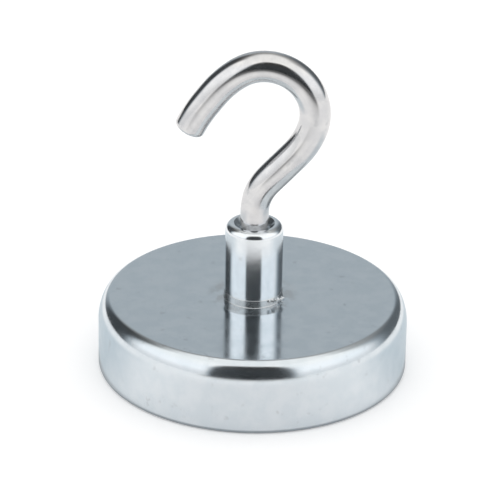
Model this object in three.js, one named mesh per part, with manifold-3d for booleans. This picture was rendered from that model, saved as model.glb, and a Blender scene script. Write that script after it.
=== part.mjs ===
// A hook magnet: a ring magnet potted in a round steel cup, a threaded neck riveted through the
// cup's floor, and an open hook of bent round rod that screws into the neck.
// Millimetres, +Z up. The origin is the centre of the magnetic face, which lies in the plane z = 0.

import * as THREE from "three";
import { mergeVertices } from "three/addons/utils/BufferGeometryUtils.js";
import Module from "manifold-3d";

// Driving dimensions of the cup
const POT_RADIUS = 30;
const POT_HEIGHT = 14.5;
// The elliptical rounding between the side wall and the top face
const POT_CORNER_WIDTH = 2.7;
const POT_CORNER_HEIGHT = 5;
const POT_WALL = 4.5;
const POT_FLOOR = 5;
const RIM_CHAMFER = 0.4;

// What fills the cup
const MAGNET_RADIUS = 22.5;
const MAGNET_HOLE = 6;
const MAGNET_CHAMFER = 0.4;
const BOND_THICKNESS = 0.3;
const BOND_INSET = 0.3; // how far the bond stops short of the magnet's edges
const RESIN_RECESS = 0.3; // resin surfaces lie this far inside the magnetic face
const RESIN_GAP = 0.05;

// The neck and its rivet
const NECK_RADIUS = 5.6;
const NECK_TOP = 30;
const NECK_ROUNDING = 1.4;
const RIVET_CORNER = 0.6;
const FOOT_RADIUS = 5.8;
const FOOT_HEIGHT = 1.6;
const RIVET_RADIUS = 4;
const RIVET_HEAD_RADIUS = 5.2;
const RIVET_HEAD_HEIGHT = 1.2;
const RIVET_GAP = 0.05;

// The M6 thread, as rings at the thread's pitch
const THREAD_PITCH = 1;
const THREAD_MAJOR = 2.95;
const THREAD_MINOR = 2.45;
const THREAD_CLEARANCE = 0.1;
const MALE_THREAD_BOTTOM = 17.5;
const MALE_THREAD_TURNS = 11;
const BORE_BOTTOM = 15.6;
const DRILL_POINT = 0.9;
const MOUTH_RADIUS = 4;
const MOUTH_DEPTH = 1.4;

// The hook: round rod whose bends follow one another in one upright plane
const HOOK_AIM = -6; // degrees from the XZ plane, about +Z
const ROD_RADIUS = 3;
const SHANK_RADIUS = 2.7;
const TAPER_START = 31.2;
const TAPER_END = 32.3;
const TIP_ROUNDING = 0.9;
const SHANK_TOP = 32.7;
const HOOK_BENDS = [
  { radius: 9.6, turn: -41.7 },
  { straight: 7.5 },
  { radius: 16.8, turn: 21.1 },
  { radius: 9.3, turn: 145.7 },
  { radius: 20.4, turn: 18.8 },
  { straight: 3.2 },
  { radius: 20, turn: 9 },
  { straight: 1.7 },
];

// Facets
const CUP_SIDES = 64;
const NECK_SIDES = 32;
const THREAD_SIDES = 20;
const ROD_SIDES = 16;
const ROD_STEPS = 48;
const CORNER_STEPS = 6;

const wasm = await Module();
wasm.setup();

const bright = (color, roughness) => new THREE.MeshStandardMaterial({ color, roughness, metalness: 1 });
const resin = (color) => new THREE.MeshStandardMaterial({ color, roughness: 0.45, metalness: 0 });

/** A closed manifold-3d solid from a closed three.js geometry. */
function solid(geometry) {
  const bare = geometry.clone();
  bare.deleteAttribute("normal");
  bare.deleteAttribute("uv");
  const merged = mergeVertices(bare, 1e-4);
  const vertProperties = new Float32Array(merged.attributes.position.array);
  const triVerts = new Uint32Array(merged.index.array);
  return new wasm.Manifold(new wasm.Mesh({ numProp: 3, vertProperties, triVerts }));
}

/** A three.js geometry from a manifold-3d solid. */
function geometryOf(body) {
  const { vertProperties, triVerts } = body.getMesh();
  const geometry = new THREE.BufferGeometry();
  geometry.setAttribute("position", new THREE.BufferAttribute(new Float32Array(vertProperties), 3));
  geometry.setIndex(new THREE.BufferAttribute(new Uint32Array(triVerts), 1));
  geometry.computeVertexNormals();
  return geometry;
}

/** A solid of revolution about +Z. The profile is a list of [radius, height], upwards on the outside. */
function turned(profile, sides) {
  const points = profile.map(([radius, height]) => new THREE.Vector2(radius, height));
  return new THREE.LatheGeometry(points, sides).rotateX(Math.PI / 2);
}

/** A ring: the same, with the profile closed on itself. */
function turnedRing(profile, sides) {
  return turned([...profile, profile[0]], sides);
}

/** Points round a convex upper corner, from its side to its top: a quarter of an ellipse about [r, z]. */
function corner(r, z, width, height = width) {
  return Array.from({ length: CORNER_STEPS + 1 }, (_, i) => {
    const angle = (Math.PI / 2) * (i / CORNER_STEPS);
    return [r + width * Math.cos(angle), z + height * Math.sin(angle)];
  });
}

/** Root and crest points of a ring thread, from the bottom up. */
function threadProfile(bottom, turns, minor, major) {
  return Array.from({ length: turns }, (_, i) => [
    [minor, bottom + i * THREAD_PITCH],
    [major, bottom + (i + 0.5) * THREAD_PITCH],
  ]).flat();
}

/** The hook's centreline, upwards from the straight shank: lines and arcs, each tangent to the last. */
class HookLine extends THREE.Curve {
  constructor(start, pieces) {
    super();
    this.start = start;
    this.pieces = pieces.map((p) => {
      const turn = THREE.MathUtils.degToRad(p.turn ?? 0);
      return { ...p, turn, length: p.straight ?? p.radius * Math.abs(turn) };
    });
    this.total = this.pieces.reduce((sum, p) => sum + p.length, 0);
  }

  /** The place and direction at a distance along the line. */
  at(distance) {
    let { x, z } = this.start;
    let heading = Math.PI / 2;
    let left = distance;
    for (const p of this.pieces) {
      const used = Math.min(left, p.length);
      if (p.straight) {
        x += used * Math.cos(heading);
        z += used * Math.sin(heading);
      } else {
        const side = Math.sign(p.turn);
        const next = heading + (side * used) / p.radius;
        x += side * p.radius * (Math.sin(next) - Math.sin(heading));
        z += side * p.radius * (Math.cos(heading) - Math.cos(next));
        heading = next;
      }
      left -= used;
      if (left <= 0) break;
    }
    return { x, z, heading };
  }

  getPoint(t, target = new THREE.Vector3()) {
    const { x, z } = this.at(t * this.total);
    return target.set(x, 0, z);
  }
}

/** The steel cup, open downwards, with a hole in its floor for the neck's rivet. */
function potShell() {
  const cavity = POT_RADIUS - POT_WALL;
  const ceiling = POT_HEIGHT - POT_FLOOR;
  const profile = [
    [RIVET_RADIUS, ceiling],
    [cavity, ceiling],
    [cavity, RIM_CHAMFER],
    [cavity + RIM_CHAMFER, 0],
    [POT_RADIUS - RIM_CHAMFER, 0],
    [POT_RADIUS, RIM_CHAMFER],
    ...corner(
      POT_RADIUS - POT_CORNER_WIDTH,
      POT_HEIGHT - POT_CORNER_HEIGHT,
      POT_CORNER_WIDTH,
      POT_CORNER_HEIGHT,
    ),
    [RIVET_RADIUS, POT_HEIGHT],
  ];
  return turnedRing(profile, CUP_SIDES);
}

const MAGNET_TOP = POT_HEIGHT - POT_FLOOR - BOND_THICKNESS;

/** The ring magnet, with chamfered edges on its working face. */
function ringMagnet() {
  const profile = [
    [MAGNET_HOLE, MAGNET_CHAMFER],
    [MAGNET_HOLE + MAGNET_CHAMFER, 0],
    [MAGNET_RADIUS - MAGNET_CHAMFER, 0],
    [MAGNET_RADIUS, MAGNET_CHAMFER],
    [MAGNET_RADIUS, MAGNET_TOP],
    [MAGNET_HOLE, MAGNET_TOP],
  ];
  return turnedRing(profile, CUP_SIDES);
}

/** A plain flat-ended ring. */
function plainRing(inner, outer, bottom, top) {
  return turnedRing([[inner, bottom], [outer, bottom], [outer, top], [inner, top]], CUP_SIDES);
}

/** The adhesive between the magnet and the cup's floor. */
function magnetBond() {
  const inner = MAGNET_HOLE + BOND_INSET;
  const outer = MAGNET_RADIUS - BOND_INSET;
  return plainRing(inner, outer, MAGNET_TOP, MAGNET_TOP + BOND_THICKNESS);
}

/** The resin that fills the gap between the magnet and the cup's wall. */
function pottingRing() {
  const inner = MAGNET_RADIUS + RESIN_GAP;
  const outer = POT_RADIUS - POT_WALL - RESIN_GAP;
  return plainRing(inner, outer, RESIN_RECESS, POT_HEIGHT - POT_FLOOR);
}

const RIVET_HEAD_BOTTOM = POT_HEIGHT - POT_FLOOR - RIVET_HEAD_HEIGHT;

/** The resin in the magnet's hole, up to the rivet's head. */
function centrePlug() {
  const radius = MAGNET_HOLE - RESIN_GAP;
  const profile = [[0, RESIN_RECESS], [radius, RESIN_RECESS], [radius, RIVET_HEAD_BOTTOM], [0, RIVET_HEAD_BOTTOM]];
  return turned(profile, NECK_SIDES);
}

/** The neck: a round bush with a foot on the cup, a rivet through its floor and a blind threaded bore. */
function threadedNeck() {
  const body = turned(
    [
      [0, RIVET_HEAD_BOTTOM],
      [RIVET_HEAD_RADIUS - RIVET_CORNER, RIVET_HEAD_BOTTOM],
      [RIVET_HEAD_RADIUS, RIVET_HEAD_BOTTOM + RIVET_CORNER],
      [RIVET_HEAD_RADIUS, POT_HEIGHT - POT_FLOOR],
      [RIVET_RADIUS - RIVET_GAP, POT_HEIGHT - POT_FLOOR],
      [RIVET_RADIUS - RIVET_GAP, POT_HEIGHT],
      [FOOT_RADIUS, POT_HEIGHT],
      [FOOT_RADIUS, POT_HEIGHT + FOOT_HEIGHT / 2],
      [NECK_RADIUS, POT_HEIGHT + FOOT_HEIGHT],
      ...corner(NECK_RADIUS - NECK_ROUNDING, NECK_TOP - NECK_ROUNDING, NECK_ROUNDING),
      [0, NECK_TOP],
    ],
    NECK_SIDES,
  );
  const minor = THREAD_MINOR + THREAD_CLEARANCE;
  const major = THREAD_MAJOR + THREAD_CLEARANCE;
  const turns = Math.round(NECK_TOP - MOUTH_DEPTH - MALE_THREAD_BOTTOM);
  const bore = turned(
    [
      [0, BORE_BOTTOM - DRILL_POINT],
      [minor, BORE_BOTTOM],
      ...threadProfile(MALE_THREAD_BOTTOM, turns, minor, major),
      [minor, NECK_TOP - MOUTH_DEPTH],
      [MOUTH_RADIUS, NECK_TOP],
      [MOUTH_RADIUS, NECK_TOP + 1],
      [0, NECK_TOP + 1],
    ],
    THREAD_SIDES,
  );
  return geometryOf(solid(body).subtract(solid(bore)));
}

/** The hook: a threaded stem, a shank that thickens to the rod, the bends, and a rounded tip. */
function hook() {
  const overlap = 0.3;
  const stem = turned(
    [
      [0, MALE_THREAD_BOTTOM - THREAD_PITCH / 2],
      [THREAD_MINOR - THREAD_PITCH / 4, MALE_THREAD_BOTTOM - THREAD_PITCH / 2],
      ...threadProfile(MALE_THREAD_BOTTOM, MALE_THREAD_TURNS, THREAD_MINOR, THREAD_MAJOR),
      [THREAD_MINOR, MALE_THREAD_BOTTOM + MALE_THREAD_TURNS * THREAD_PITCH],
      [THREAD_MINOR, NECK_TOP - MOUTH_DEPTH],
      [SHANK_RADIUS, NECK_TOP],
      [SHANK_RADIUS, TAPER_START],
      [ROD_RADIUS, TAPER_END],
      [ROD_RADIUS, SHANK_TOP + overlap],
      [0, SHANK_TOP + overlap],
    ],
    THREAD_SIDES,
  );

  const section = new THREE.Shape().absarc(0, 0, ROD_RADIUS, 0, 2 * Math.PI);
  const line = new HookLine({ x: 0, z: SHANK_TOP }, HOOK_BENDS);
  const rod = new THREE.ExtrudeGeometry(section, {
    steps: ROD_STEPS,
    curveSegments: ROD_SIDES / 2,
    extrudePath: line,
  });

  const end = line.at(line.total);
  const tip = turned(
    [
      [0, -overlap],
      [ROD_RADIUS, -overlap],
      ...corner(ROD_RADIUS - TIP_ROUNDING, 0, TIP_ROUNDING),
      [0, TIP_ROUNDING],
    ],
    ROD_SIDES,
  );
  tip.rotateY(Math.PI / 2 - end.heading).translate(end.x, 0, end.z);

  return geometryOf(solid(stem).add(solid(rod)).add(solid(tip)));
}

/** A named part with its own material. */
function part(name, geometry, material) {
  const mesh = new THREE.Mesh(geometry, material);
  mesh.name = name;
  return mesh;
}

const pot = new THREE.Group();
pot.add(
  part("pot_shell", potShell(), bright(0xc4ccd2, 0.25)),
  part("threaded_neck", threadedNeck(), bright(0xccd3d8, 0.2)),
  part("ring_magnet", ringMagnet(), bright(0xb9b6ae, 0.3)),
  part("magnet_bond", magnetBond(), resin(0x3a3c40)),
  part("potting_ring", pottingRing(), resin(0x1c1d20)),
  part("centre_plug", centrePlug(), resin(0x1c1d20)),
);

const hookBody = new THREE.Group();
hookBody.rotation.z = THREE.MathUtils.degToRad(HOOK_AIM);
hookBody.add(part("hook", hook(), bright(0xd4d8da, 0.2)));

const group = new THREE.Group();
group.add(pot, hookBody);

export default group;
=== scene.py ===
"""The looks of the hook magnet: fine meshes for every piece but the magnet's bond, plated steel and resin,
and a studio.
"""

import math

import bmesh
import bpy
from mathutils import Matrix, Vector, noise


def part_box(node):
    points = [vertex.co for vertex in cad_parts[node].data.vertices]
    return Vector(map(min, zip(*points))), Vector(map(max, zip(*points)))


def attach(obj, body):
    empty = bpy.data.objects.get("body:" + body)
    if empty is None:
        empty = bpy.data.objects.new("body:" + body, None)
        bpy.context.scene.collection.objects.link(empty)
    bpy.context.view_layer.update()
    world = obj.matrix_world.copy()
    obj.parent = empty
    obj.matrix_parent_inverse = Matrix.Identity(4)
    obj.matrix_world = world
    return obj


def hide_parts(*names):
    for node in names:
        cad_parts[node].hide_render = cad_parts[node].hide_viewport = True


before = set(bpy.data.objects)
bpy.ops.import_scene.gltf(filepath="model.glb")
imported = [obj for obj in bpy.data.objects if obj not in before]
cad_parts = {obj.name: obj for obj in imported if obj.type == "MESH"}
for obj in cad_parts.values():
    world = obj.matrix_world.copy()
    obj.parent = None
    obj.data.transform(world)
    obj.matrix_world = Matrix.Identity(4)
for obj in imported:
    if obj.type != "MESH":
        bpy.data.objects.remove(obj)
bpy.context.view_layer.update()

MM = 0.001

# ---------------------------------------------------------------- sizes, from the CAD frame if it has them

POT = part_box("pot_shell")
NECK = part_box("threaded_neck")
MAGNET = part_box("ring_magnet")
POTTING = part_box("potting_ring")
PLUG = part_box("centre_plug")
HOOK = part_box("hook")

POT_RADIUS = POT[1].x
POT_TOP = POT[1].z
POT_CORNER_WIDTH = 2.7 * MM
POT_CORNER_HEIGHT = 5 * MM
POT_WALL = 4.5 * MM
POT_FLOOR = 5 * MM
RIM_ROUND = 0.9 * MM
DISH_DEPTH = 0.1 * MM
DISH_START = 7.4 * MM
DISH_END = 9.3 * MM

MAGNET_HOLE = 6 * MM
MAGNET_EDGE = 0.35 * MM
RESIN_GAP = 0.04 * MM

NECK_TOP = NECK[1].z
NECK_BOTTOM = NECK[0].z
NECK_RADIUS = 5.6 * MM
NECK_EDGE = 1.4 * MM
FOOT_RADIUS = 5.7 * MM
FOOT_HEIGHT = 1.5 * MM
FOOT_FILLET = 0.16 * MM
SEAT = POT_TOP - DISH_DEPTH
MOUTH_RADIUS = 4 * MM
MOUTH_DEPTH = 1.4 * MM
MOUTH_EDGE = 0.12 * MM
RIVET_RADIUS = 3.95 * MM
RIVET_HEAD_RADIUS = 5.2 * MM
RIVET_HEAD_EDGE = 0.5 * MM
CEILING = POT_TOP - POT_FLOOR

THREAD_PITCH = 1 * MM
THREAD_MAJOR = 2.95 * MM
THREAD_MINOR = 2.45 * MM
THREAD_CLEARANCE = 0.1 * MM
THREAD_TURNS = 11
STEM_BOTTOM = HOOK[0].z
BORE_BOTTOM = 15.6 * MM
DRILL_POINT = 0.9 * MM

HOOK_AIM = math.radians(-6)
ROD_RADIUS = 3 * MM
SHANK_RADIUS = 2.75 * MM
SHANK_TOP = 32.62 * MM
THICKENING = (32 * MM, 41 * MM)
TIP_ROUND = 0.9 * MM
HOOK_BENDS = (
    ("arc", 9.6 * MM, -41.7),
    ("line", 7.5 * MM),
    ("arc", 16.8 * MM, 21.1),
    ("arc", 9.3 * MM, 145.7),
    ("arc", 20.4 * MM, 18.8),
    ("line", 3.2 * MM),
    ("arc", 20 * MM, 9),
    ("line", 1.7 * MM),
)

FINE_SIDES = 256
NECK_SIDES = 192
ROD_SIDES = 64
ROD_STEP = 0.35 * MM
BEND_BLEND = 3 * MM
POINT = 0.02 * MM

BURRS = 6
FIRST_BURR = -57
BURR_SPACING = 8.5

FLOOR_SIZE = 3
FLOOR_DROP = 0.02 * MM
FLOOR_GLOW = 0.14
BACK_LIGHT = 0.54
OVERHEAD_LIGHT = 1.15


# ---------------------------------------------------------------- camera

def camera():
    """A long lens, a little above the pot, that looks along +Y."""
    distance = 0.66
    elevation = math.radians(26.95)
    roll = math.radians(1.07)
    aim_up, aim_right = 15.21 * MM, -0.49 * MM
    target = Vector((0, 0, POT_TOP / 2))
    straight = Vector((0, math.cos(elevation), -math.sin(elevation)))
    level = Vector((1, 0, 0))
    right = level * math.cos(roll) + level.cross(straight) * math.sin(roll)
    forward = (straight * distance + right.cross(straight) * aim_up + right * aim_right).normalized()
    up = right.cross(straight)
    right = forward.cross(up).normalized()
    up = right.cross(forward)
    data = bpy.data.cameras.new("camera")
    data.lens = 243.6
    data.sensor_width = 36
    data.clip_start = 0.01
    cam = bpy.data.objects.new("camera", data)
    bpy.context.scene.collection.objects.link(cam)
    turn = Matrix((right, up, -forward)).transposed().to_4x4()
    cam.matrix_world = Matrix.Translation(target - straight * distance) @ turn
    bpy.context.scene.camera = cam


camera()


# ---------------------------------------------------------------- mesh helpers

def finish_mesh(name, bm, sharp=32):
    """A smooth-shaded object from a bmesh, with its edges kept sharp above an angle in degrees."""
    bmesh.ops.remove_doubles(bm, verts=bm.verts, dist=1e-8)
    bmesh.ops.recalc_face_normals(bm, faces=bm.faces)
    mesh = bpy.data.meshes.new(name)
    bm.to_mesh(mesh)
    bm.free()
    mesh.shade_smooth()
    mesh.set_sharp_from_angle(angle=math.radians(sharp))
    piece = bpy.data.objects.new(name, mesh)
    bpy.context.scene.collection.objects.link(piece)
    normals = piece.modifiers.new("normals", "WEIGHTED_NORMAL")
    normals.keep_sharp = True
    return piece


def arc(r, z, radius, start, end, steps, height=None):
    """Points on an arc about (r, z), from one angle to another in degrees. A height makes it elliptical."""
    angles = [math.radians(start + (end - start) * i / steps) for i in range(steps + 1)]
    return [(r + radius * math.cos(a), z + (height or radius) * math.sin(a)) for a in angles]


def between(a, b, steps):
    """The points that divide a straight stretch, without its ends."""
    return [tuple(p + (q - p) * i / steps for p, q in zip(a, b)) for i in range(1, steps)]


def smooth(x, low, high):
    """A smooth step from 0 to 1."""
    t = min(max((x - low) / (high - low), 0), 1)
    return t * t * (3 - 2 * t)


def turned(name, profile, sides, closed=True, shift=None):
    """A solid of revolution. A closed profile makes a ring, an open one starts and ends on the axis."""
    bm = bmesh.new()
    rings = []
    for r, z in profile:
        ring = []
        for i in range(1 if r < 1e-9 else sides):
            a = 2 * math.pi * i / sides
            p = Vector((r * math.cos(a), r * math.sin(a), z))
            ring.append(bm.verts.new(p + shift(p) if shift else p))
        rings.append(ring)
    pairs = list(zip(rings, rings[1:]))
    if closed:
        pairs.append((rings[-1], rings[0]))
    for low, high in pairs:
        for i in range(sides):
            j = (i + 1) % sides
            corners = [low[i % len(low)], low[j % len(low)], high[j % len(high)], high[i % len(high)]]
            face = [v for k, v in enumerate(corners) if v not in corners[:k]]
            if len(face) > 2:
                bm.faces.new(face)
    return finish_mesh(name, bm)


def thread(bottom, turns, minor, major):
    """Profile points of a ring thread with small flats on its crests and roots."""
    points = []
    for i in range(turns):
        z = bottom + i * THREAD_PITCH
        points += [
            (minor, z - 0.1 * THREAD_PITCH),
            (minor, z + 0.1 * THREAD_PITCH),
            (major, z + 0.44 * THREAD_PITCH),
            (major, z + 0.56 * THREAD_PITCH),
        ]
    return points


# ---------------------------------------------------------------- material helpers

class Nodes:
    """Short calls for building a node tree."""

    def __init__(self, tree):
        self.tree = tree

    def add(self, kind, inputs=None, **settings):
        node = self.tree.nodes.new(kind)
        for key, value in settings.items():
            setattr(node, key, value)
        for key, value in (inputs or {}).items():
            self.set(node.inputs[key], value)
        return node

    def set(self, socket, value):
        if isinstance(value, bpy.types.NodeSocket):
            self.tree.links.new(value, socket)
        else:
            socket.default_value = value

    def math(self, operation, *values):
        node = self.add("ShaderNodeMath", operation=operation)
        for socket, value in zip(node.inputs, values):
            self.set(socket, value)
        return node.outputs[0]

    def product(self, *values):
        result = values[0]
        for value in values[1:]:
            result = self.math("MULTIPLY", result, value)
        return result

    def total(self, *values):
        result = values[0]
        for value in values[1:]:
            result = self.math("ADD", result, value)
        return result

    def invert(self, value):
        return self.math("SUBTRACT", 1, value)

    def blend(self, factor, a, b):
        """A number that goes from a to b."""
        return self.total(self.product(a, self.invert(factor)), self.product(b, factor))

    def ramp(self, value, low, high, to_low=0.0, to_high=1.0, kind="SMOOTHSTEP"):
        node = self.add("ShaderNodeMapRange", {"Value": value}, interpolation_type=kind)
        ends = {"From Min": low, "From Max": high, "To Min": to_low, "To Max": to_high}
        for key, number in ends.items():
            node.inputs[key].default_value = number
        return node.outputs["Result"]

    def mix(self, factor, a, b):
        """A colour that goes from a to b."""
        node = self.add("ShaderNodeMix", data_type="RGBA")
        self.set(node.inputs[0], factor)
        self.set(node.inputs[6], a)
        self.set(node.inputs[7], b)
        return node.outputs[2]

    def noise(self, vector, scale, detail=2, roughness=0.5, distortion=0.0):
        inputs = dict(Vector=vector, Scale=scale, Detail=detail, Roughness=roughness, Distortion=distortion)
        return self.add("ShaderNodeTexNoise", inputs).outputs["Fac"]

    def stretch(self, vector, scale):
        return self.add("ShaderNodeMapping", {"Vector": vector, "Scale": scale}).outputs["Vector"]

    def bump(self, shader, height):
        """Bumps whose height is in metres."""
        node = self.add("ShaderNodeBump", {"Height": height, "Strength": 1.0, "Distance": 1.0})
        self.set(shader.inputs["Normal"], node.outputs["Normal"])


def new_material(name, **constants):
    """A principled material. Constants go straight on the shader's own sockets."""
    material = bpy.data.materials.new(name)
    material.use_nodes = True
    nodes = Nodes(material.node_tree)
    shader = material.node_tree.nodes["Principled BSDF"]
    for key, value in constants.items():
        shader.inputs[key.replace("_", " ")].default_value = value
    place = nodes.add("ShaderNodeTexCoord").outputs["Object"]
    return material, nodes, shader, place


def plated(
    name, light, dark, roughness, mottle=260.0, waviness=0.0,
    painted_shade_below=None, turned_marks=0.0, painted_shade_ring_radii=None,
):
    """Bright zinc plate: bluish mottling, fine grain, faint stains and handling scratches.
    painted_shade_below is a height below which the plate is painted darker, as shade where the neck meets
    the cup, and made rougher.
    turned_marks run round the Z axis and blur what is mirrored across them.
    painted_shade_ring_radii is a pair of radii between which a patchy painted shade round the Z axis,
    around the neck's base, fades out; it also roughens the plate a little there."""
    material, n, shader, place = new_material(name, Metallic=1.0)
    cloud = n.ramp(n.noise(place, mottle, detail=4, roughness=0.6), 0.36, 0.66)
    stain = n.ramp(n.noise(place, 430, detail=3, roughness=0.55), 0.63, 0.74)
    stained = n.mix(n.product(stain, 0.3), n.mix(cloud, dark, light), (0.4, 0.42, 0.44, 1))
    # Painted shade: a patchy darker ring on the cup's top round the neck's base, between two radii, with a
    # little more roughness.
    ring = 0.0
    if painted_shade_ring_radii:
        inner, outer = painted_shade_ring_radii
        flat = n.add("ShaderNodeVectorMath", {0: place, 1: (1, 1, 0)}, operation="MULTIPLY")
        length = n.add("ShaderNodeVectorMath", {0: flat.outputs["Vector"]}, operation="LENGTH")
        radius = length.outputs["Value"]
        patchy = n.ramp(n.noise(place, 350, detail=3), 0.4, 0.6)
        ring = n.product(n.ramp(radius, inner, outer, 1.0, 0.0), patchy)
        stained = n.mix(n.product(ring, 0.4), stained, (0.42, 0.41, 0.40, 1))
    # Painted shade at the neck's foot, where it meets the cup: a darker colour, and a rougher plate.
    foot_shade_and_dullness = 0.0
    if painted_shade_below:
        height = n.add("ShaderNodeSeparateXYZ", {"Vector": place}).outputs["Z"]
        foot_shade_and_dullness = n.ramp(height, painted_shade_below - 0.1 * MM, painted_shade_below + 0.1 * MM, 1.0, 0.0)
        stained = n.mix(n.product(foot_shade_and_dullness, 0.55), stained, (0.42, 0.44, 0.45, 1))
    n.set(shader.inputs["Base Color"], stained)

    grain = n.noise(place, 5200, detail=3, roughness=0.7)
    lines = n.noise(n.stretch(place, (1, 14, 3)), 900, roughness=0.4, distortion=0.3)
    scratch = n.ramp(n.math("ABSOLUTE", n.math("SUBTRACT", lines, 0.5)), 0.0, 0.012, 1.0, 0.0)
    low, high = roughness
    dullness = n.total(
        n.ramp(cloud, 0, 1, high, low, kind="LINEAR"),
        n.product(n.math("SUBTRACT", grain, 0.5), 0.06),
        n.product(scratch, 0.05),
        n.product(stain, 0.06),
        n.product(ring, 0.08),
        n.product(foot_shade_and_dullness, 0.12),
    )
    n.set(shader.inputs["Roughness"], n.math("MAXIMUM", dullness, 0.05))

    if turned_marks:
        shader.inputs["Anisotropic"].default_value = turned_marks
        shader.inputs["Anisotropic Rotation"].default_value = 0.25
        round_z = n.add("ShaderNodeTangent", direction_type="RADIAL", axis="Z")
        n.set(shader.inputs["Tangent"], round_z.outputs["Tangent"])

    slow = n.noise(place, 75, detail=1)
    n.bump(shader, n.total(n.product(grain, 0.0006 * MM), n.product(slow, waviness)))
    return material


def resin(name, colour, lighter, roughness):
    """Cured potting resin: a slightly uneven, cloudy surface with tiny pits."""
    material, n, shader, place = new_material(name, Metallic=0.0)
    cloud = n.noise(place, 420, detail=4, roughness=0.65)
    n.set(shader.inputs["Base Color"], n.mix(n.ramp(cloud, 0.35, 0.7), colour, lighter))
    n.set(shader.inputs["Roughness"], n.ramp(cloud, 0.3, 0.7, roughness, roughness + 0.2))
    pits = n.add("ShaderNodeTexVoronoi", {"Vector": place, "Scale": 900.0}).outputs["Distance"]
    n.bump(shader, n.total(n.ramp(pits, 0.02, 0.12, -0.01 * MM, 0.0), n.product(cloud, 0.04 * MM)))
    return material


def ground_nickel(name):
    """The magnet's working face: nickel over ground neodymium alloy, with fine parallel grinding marks."""
    material, n, shader, place = new_material(name, Metallic=1.0)
    cloud = n.noise(place, 180, detail=4, roughness=0.6)
    n.set(shader.inputs["Base Color"], n.mix(cloud, (0.60, 0.57, 0.51, 1), (0.72, 0.70, 0.65, 1)))
    marks = n.noise(n.stretch(place, (1, 40, 1)), 260, detail=3, roughness=0.6)
    n.set(shader.inputs["Roughness"], n.ramp(marks, 0.3, 0.7, 0.2, 0.36))
    n.bump(shader, n.product(marks, 0.004 * MM))
    return material


POT_ZINC = plated(
    "pot_zinc", (0.685, 0.735, 0.775, 1), (0.64, 0.70, 0.745, 1), (0.12, 0.17),
    waviness=0.01 * MM, painted_shade_ring_radii=(7 * MM, 9.4 * MM),
)
NECK_ZINC = plated(
    "neck_zinc", (0.80, 0.84, 0.87, 1), (0.75, 0.79, 0.825, 1), (0.13, 0.17), mottle=400.0,
    painted_shade_below=SEAT + FOOT_HEIGHT, turned_marks=0.6,
)
HOOK_ZINC = plated("hook_zinc", (0.70, 0.70, 0.705, 1), (0.62, 0.625, 0.64, 1), (0.11, 0.17), mottle=320.0)
NICKEL = ground_nickel("magnet_nickel")
POTTING_RESIN = resin("potting_resin", (0.014, 0.014, 0.017, 1), (0.03, 0.03, 0.034, 1), 0.22)
BOND_RESIN = resin("bond_resin", (0.12, 0.12, 0.125, 1), (0.2, 0.2, 0.205, 1), 0.5)


def place_piece(piece, body, node, material):
    piece.data.materials.append(material)
    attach(piece, body)
    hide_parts(node)


# ---------------------------------------------------------------- the pot and what fills it

def pot_shell():
    """The drawn steel cup. Its top dips a little around the neck, where the rivet has pulled it in."""
    cavity = POT_RADIUS - POT_WALL
    hole = RIVET_RADIUS + 0.05 * MM
    fillet = 0.6 * MM
    edge, shoulder = POT_RADIUS - POT_CORNER_WIDTH, POT_TOP - POT_CORNER_HEIGHT
    steps = 80
    radii = [edge + (hole - edge) * i / steps for i in range(1, steps + 1)]
    top = [(r, POT_TOP - DISH_DEPTH * (1 - smooth(r, DISH_START, DISH_END))) for r in radii]
    profile = (
        [(hole, CEILING), (cavity - fillet, CEILING)]
        + arc(cavity - fillet, CEILING - fillet, fillet, 90, 0, 6)[1:]
        + arc(cavity + RIM_ROUND, RIM_ROUND, RIM_ROUND, 180, 270, 8)
        + arc(POT_RADIUS - RIM_ROUND, RIM_ROUND, RIM_ROUND, 270, 360, 12)
        + between((POT_RADIUS, RIM_ROUND), (POT_RADIUS, shoulder), 8)
        + arc(edge, shoulder, POT_CORNER_WIDTH, 0, 90, 48, POT_CORNER_HEIGHT)
        + top
    )
    return turned("pot_shell_fine", profile, FINE_SIDES)


def magnet():
    """The ring magnet, with its lower edges rounded."""
    outer = MAGNET[1].x
    profile = (
        arc(MAGNET_HOLE + MAGNET_EDGE, MAGNET_EDGE, MAGNET_EDGE, 180, 270, 6)
        + arc(outer - MAGNET_EDGE, MAGNET_EDGE, MAGNET_EDGE, 270, 360, 6)
        + [(outer, MAGNET[1].z), (MAGNET_HOLE, MAGNET[1].z)]
    )
    return turned("ring_magnet_fine", profile, FINE_SIDES)


def uneven(p):
    """Resin that has settled a little unevenly on the open side."""
    return Vector((0, 0, 0.05 * MM * noise.noise(p * 160))) if p.z < 1.5 * MM else Vector()


def potting_ring():
    """The resin between the magnet and the cup's wall. Its open side is hollowed by its meniscus."""
    inner, outer = MAGNET[1].x + RESIN_GAP, POT_RADIUS - POT_WALL - RESIN_GAP
    bottom, top = POTTING[0].z, POTTING[1].z
    steps = 10
    across = [i / steps for i in range(steps + 1)]
    meniscus = [(inner + (outer - inner) * t, bottom + 0.12 * MM * (1 - (2 * t - 1) ** 2)) for t in across]
    return turned("potting_ring_fine", meniscus + [(outer, top), (inner, top)], FINE_SIDES, shift=uneven)


def centre_plug():
    """The resin in the magnet's hole. Its open side is hollowed by its meniscus."""
    radius = PLUG[1].x
    bottom, top = PLUG[0].z, PLUG[1].z
    steps = 12
    meniscus = [(radius * i / steps, bottom + 0.16 * MM * (1 - (i / steps) ** 2)) for i in range(steps + 1)]
    profile = meniscus + [(radius, top), (0, top)]
    return turned("centre_plug_fine", profile, NECK_SIDES, closed=False, shift=uneven)


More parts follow.
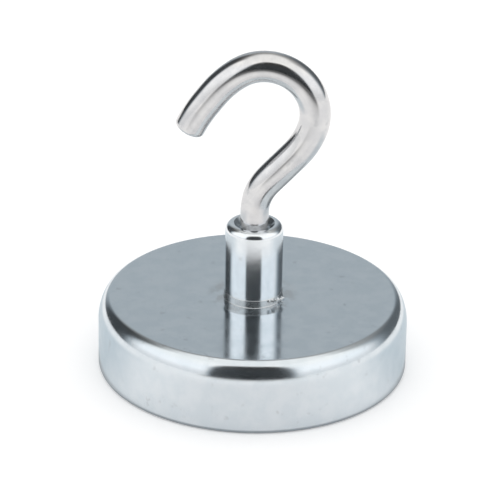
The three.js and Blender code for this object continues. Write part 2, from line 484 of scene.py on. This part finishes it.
def burrs(p):
    """A short row of small raised burrs on one side of the foot, where the crimping tool has bitten."""
    lift = 0
    for i in range(BURRS):
        angle = math.radians(FIRST_BURR + BURR_SPACING * i)
        height = SEAT + (1.15 - 0.17 * i) * MM
        at = Vector((FOOT_RADIUS * math.cos(angle), FOOT_RADIUS * math.sin(angle), height))
        size = (0.26 + 0.08 * math.sin(2.6 * i)) * MM
        lift += (0.3 + 0.08 * i) * MM * math.exp(-(((p - at).length / size) ** 2))
    outward = Vector((p.x, p.y, 0))
    return outward.normalized() * lift if outward.length > 5 * MM else Vector()


def threaded_neck():
    """The bush: rivet head, rivet, foot with a small fillet on the cup, barrel, and threaded bore."""
    minor, major = THREAD_MINOR + THREAD_CLEARANCE, THREAD_MAJOR + THREAD_CLEARANCE
    bore = thread(STEM_BOTTOM + THREAD_PITCH, THREAD_TURNS, minor, major)
    shoulder = SEAT + FOOT_HEIGHT
    step = FOOT_RADIUS - NECK_RADIUS
    edge = RIVET_HEAD_EDGE
    outside = (
        [(0, NECK_BOTTOM)]
        + arc(RIVET_HEAD_RADIUS - edge, NECK_BOTTOM + edge, edge, 270, 360, 6)
        + [(RIVET_HEAD_RADIUS, CEILING), (RIVET_RADIUS, CEILING), (RIVET_RADIUS, SEAT)]
        + arc(FOOT_RADIUS + FOOT_FILLET, SEAT + FOOT_FILLET, FOOT_FILLET, 270, 180, 8)
        + between((FOOT_RADIUS, SEAT + FOOT_FILLET), (FOOT_RADIUS, shoulder - step), 12)
        + arc(NECK_RADIUS, shoulder - step, step, 0, 80, 6)
        + [(NECK_RADIUS, shoulder + 0.05 * MM)]
        + arc(NECK_RADIUS - NECK_EDGE, NECK_TOP - NECK_EDGE, NECK_EDGE, 0, 90, 12)
    )
    inside = (
        arc(MOUTH_RADIUS, NECK_TOP - MOUTH_EDGE, MOUTH_EDGE, 90, 135, 4)
        + [(minor, NECK_TOP - MOUTH_DEPTH)]
        + bore[::-1]
        + [(minor, BORE_BOTTOM), (0, BORE_BOTTOM - DRILL_POINT)]
    )
    return turned("threaded_neck_fine", outside + inside, NECK_SIDES, closed=False, shift=burrs)


# ---------------------------------------------------------------- the hook

def heading_at(distance):
    """The centreline's direction at a distance from the shank's top, before the bends are eased."""
    heading = math.pi / 2
    for kind, size, *turn in HOOK_BENDS:
        angle = math.radians(turn[0]) if turn else 0
        length = abs(angle) * size if turn else size
        used = min(max(distance / length, 0), 1)
        heading += angle * used
        distance -= length
    return heading


def hook_line():
    """Points and headings along the hook's centreline, with each bend eased into the next."""
    total = sum(size * (abs(math.radians(turn[0])) if turn else 1) for _, size, *turn in HOOK_BENDS)
    steps = math.ceil(total / ROD_STEP)
    step = total / steps
    window = [BEND_BLEND * (i / 8 - 0.5) for i in range(9)]

    def eased(distance):
        return sum(heading_at(distance + offset) for offset in window) / len(window)

    x, z = 0.0, SHANK_TOP
    points = [(x, z, eased(0))]
    for i in range(steps):
        middle = eased((i + 0.5) * step)
        x += step * math.cos(middle)
        z += step * math.sin(middle)
        points.append((x, z, eased((i + 1) * step)))
    return points


def hook_rings():
    """Place, heading and radius of every ring of the hook, from the stem's end to the tip."""
    upward = math.pi / 2
    first_root = STEM_BOTTOM + THREAD_PITCH / 2
    shank_bottom = NECK_TOP - MOUTH_DEPTH
    stem = [(POINT, STEM_BOTTOM), (THREAD_MINOR - 0.25 * MM, STEM_BOTTOM)]
    stem += thread(first_root, THREAD_TURNS, THREAD_MINOR, THREAD_MAJOR)
    stem += [(THREAD_MINOR, first_root + THREAD_TURNS * THREAD_PITCH), (THREAD_MINOR, shank_bottom)]
    stem += [(SHANK_RADIUS, shank_bottom + 0.2 * MM)]
    stem += [(SHANK_RADIUS, z) for _, z in between((0, shank_bottom + 0.2 * MM), (0, SHANK_TOP), 8)]
    rings = [(0, z, upward, radius) for radius, z in stem]
    line = hook_line()
    thicker = ROD_RADIUS - SHANK_RADIUS
    rings += [(x, z, a, SHANK_RADIUS + thicker * smooth(z, *THICKENING)) for x, z, a in line]

    x, z, heading = line[-1]
    tip = arc(ROD_RADIUS - TIP_ROUND, 0, TIP_ROUND, 0, 90, 10)[1:]
    tip += [(1.2 * MM, TIP_ROUND), (POINT, TIP_ROUND)]
    rings += [(x + s * math.cos(heading), z + s * math.sin(heading), heading, radius) for radius, s in tip]
    return rings


def hook():
    """Threaded stem, shank and bends, as one sweep of rings in the hook's own upright plane."""
    along = Vector((math.cos(HOOK_AIM), math.sin(HOOK_AIM), 0))
    aside = Vector((-math.sin(HOOK_AIM), math.cos(HOOK_AIM), 0))
    upward = Vector((0, 0, 1))
    angles = [2 * math.pi * i / ROD_SIDES for i in range(ROD_SIDES)]
    bm = bmesh.new()
    rows = []
    for x, z, heading, radius in hook_rings():
        across = along * math.sin(heading) - upward * math.cos(heading)
        centre = along * x + upward * z
        ring = [centre + radius * (math.cos(a) * across + math.sin(a) * aside) for a in angles]
        rows.append([bm.verts.new(p) for p in ring])
    for low, high in zip(rows, rows[1:]):
        for i in range(ROD_SIDES):
            j = (i + 1) % ROD_SIDES
            bm.faces.new((low[i], low[j], high[j], high[i]))
    bm.faces.new(rows[0])
    bm.faces.new(rows[-1])
    return finish_mesh("hook_fine", bm)


place_piece(pot_shell(), "pot", "pot_shell", POT_ZINC)
place_piece(magnet(), "pot", "ring_magnet", NICKEL)
place_piece(potting_ring(), "pot", "potting_ring", POTTING_RESIN)
place_piece(centre_plug(), "pot", "centre_plug", POTTING_RESIN)
place_piece(threaded_neck(), "pot", "threaded_neck", NECK_ZINC)
place_piece(hook(), "hook", "hook", HOOK_ZINC)

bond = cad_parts["magnet_bond"]
bond.data.materials.clear()
bond.data.materials.append(BOND_RESIN)


# ---------------------------------------------------------------- studio

def bearings(n, vector):
    """A direction's azimuth from +Y towards +X, and its height, both in degrees."""
    x, y, z = n.add("ShaderNodeSeparateXYZ", {"Vector": vector}).outputs
    azimuth = n.math("DEGREES", n.math("ARCTAN2", x, y))
    return azimuth, n.math("DEGREES", n.math("ARCSINE", z))


def floor():
    """A plain pale table that glows a little, so that shadows on it are faint. Only in what the metal
    mirrors
    it carries painted shade: a cool painted shade behind the magnet, a little painted shade in front, a
    painted contact shadow where the cup touches it, and a painted near-black stretch far in front."""
    material, n, shader, place = new_material("floor", Roughness=0.9, Specular_IOR_Level=0.0)
    tone = n.noise(place, 30, detail=3)
    pale = n.mix(tone, (0.94, 0.94, 0.94, 1), (0.955, 0.955, 0.955, 1))
    y = n.add("ShaderNodeSeparateXYZ", {"Vector": place}).outputs["Y"]
    mirrored = n.add("ShaderNodeLightPath").outputs["Is Glossy Ray"]
    azimuth, _ = bearings(n, place)
    aside = n.math("ABSOLUTE", azimuth)
    radius = n.add("ShaderNodeVectorMath", {0: place}, operation="LENGTH").outputs["Value"]
    # Painted shade, seen only by mirrored rays: near the cup the table is cooler and darker behind the
    # magnet, and a little darker in front.
    close = n.product(n.ramp(radius, 0.055, 0.09, 1.0, 0.0), mirrored)
    behind = n.product(n.ramp(aside, 88, 126, 1.0, 0.0), close)
    before = n.product(n.ramp(aside, 120, 170), close)
    # Painted contact shadow, seen only by mirrored rays: the table darkens where the cup touches it.
    painted_contact_shadow = n.product(n.ramp(radius, POT_RADIUS + 0.2 * MM, POT_RADIUS + 2 * MM, 1.0, 0.0), mirrored)
    # Painted near-black stretch far in front, seen only by mirrored rays, as a dark card would show in the
    # metal.
    painted_dark_front = n.product(n.ramp(y, -0.06, -0.38), n.ramp(aside, 138, 154), mirrored)
    tinted = n.mix(mirrored, pale, (0.95, 0.935, 0.92, 1))
    tinted = n.mix(behind, tinted, (0.60, 0.655, 0.685, 1))
    tinted = n.mix(before, tinted, (0.83, 0.815, 0.805, 1))
    tinted = n.mix(painted_contact_shadow, tinted, (0.36, 0.37, 0.38, 1))
    n.set(shader.inputs["Base Color"], n.mix(painted_dark_front, tinted, (0.03, 0.03, 0.03, 1)))
    shader.inputs["Emission Color"].default_value = (1, 1, 1, 1)
    shader.inputs["Emission Strength"].default_value = FLOOR_GLOW
    bm = bmesh.new()
    bmesh.ops.create_grid(bm, x_segments=8, y_segments=8, size=FLOOR_SIZE)
    piece = finish_mesh("floor", bm)
    piece.location.z = -FLOOR_DROP
    piece.data.materials.append(material)


def studio():
    """Soft light all round, as a photographer's tent. Metal mirrors it: bright overhead and at both
    sides, grey behind with two dark patches and a fainter arch above them, and dark in front, where
    the tent is open. Nothing else sees those patches."""
    world = bpy.data.worlds.new("studio")
    bpy.context.scene.world = world
    world.use_nodes = True
    tree = world.node_tree
    tree.nodes.clear()
    n = Nodes(tree)
    azimuth, height = bearings(n, n.add("ShaderNodeTexCoord").outputs["Generated"])
    aside = n.math("ABSOLUTE", azimuth)

    def patch(azimuth_from, height_at, wide, tall, dark, soft):
        """What a dark patch, a rounded rectangle with a soft edge, leaves of the light behind it."""
        across = n.math("DIVIDE", azimuth_from, wide)
        up = n.math("DIVIDE", n.math("SUBTRACT", height, height_at), tall)
        cubes = [n.math("POWER", n.math("ABSOLUTE", offset), 3) for offset in (across, up)]
        distance = n.math("POWER", n.total(*cubes), 1 / 3)
        return n.invert(n.ramp(distance, 1 - soft, 1.0, dark, 0.0))

    lean = n.product(height, 0.2)
    left = patch(n.total(azimuth, 60, n.product(lean, -1)), 15, 37, 60, 0.89, 0.6)
    right = patch(n.total(azimuth, -46, lean), 10, 40, 50, 0.74, 0.66)
    arch = patch(n.math("ADD", azimuth, 16), 42, 36, 11, 0.4, 0.9)
    front = patch(n.math("SUBTRACT", aside, 180), 15, 35, 44, 0.965, 0.2)
    sides = n.ramp(height, 2, 20, 0.95, 1.27)
    level = n.blend(n.ramp(aside, 68, 92), n.product(BACK_LIGHT, left, right, arch), sides)
    level = n.product(n.blend(n.ramp(height, 50, 68), level, OVERHEAD_LIGHT), front)

    cool = n.mix(n.ramp(level, 0.3, 1.0), (0.90, 1.0, 1.07, 1), (1.0, 1.0, 1.0, 1))
    tinted = n.mix(n.ramp(height, 24, 50), cool, (1.0, 0.985, 0.955, 1))
    shown = n.add("ShaderNodeBackground", {"Color": (1, 1, 1, 1), "Strength": 1.0})
    lit = n.add("ShaderNodeBackground", {"Color": (1, 1, 1, 1), "Strength": 1.02})
    mirrored = n.add("ShaderNodeBackground", {"Color": tinted, "Strength": level})
    path = n.add("ShaderNodeLightPath").outputs
    seen = path["Is Camera Ray"]
    mirror = n.product(path["Is Glossy Ray"], n.math("LESS_THAN", path["Diffuse Depth"], 1))
    light = n.add("ShaderNodeMixShader", {0: mirror, 1: lit.outputs[0], 2: mirrored.outputs[0]})
    all_rays = n.add("ShaderNodeMixShader", {0: seen, 1: light.outputs[0], 2: shown.outputs[0]})
    n.add("ShaderNodeOutputWorld", {"Surface": all_rays.outputs[0]})


floor()
studio()
bpy.context.scene.view_settings.view_transform = "Standard"
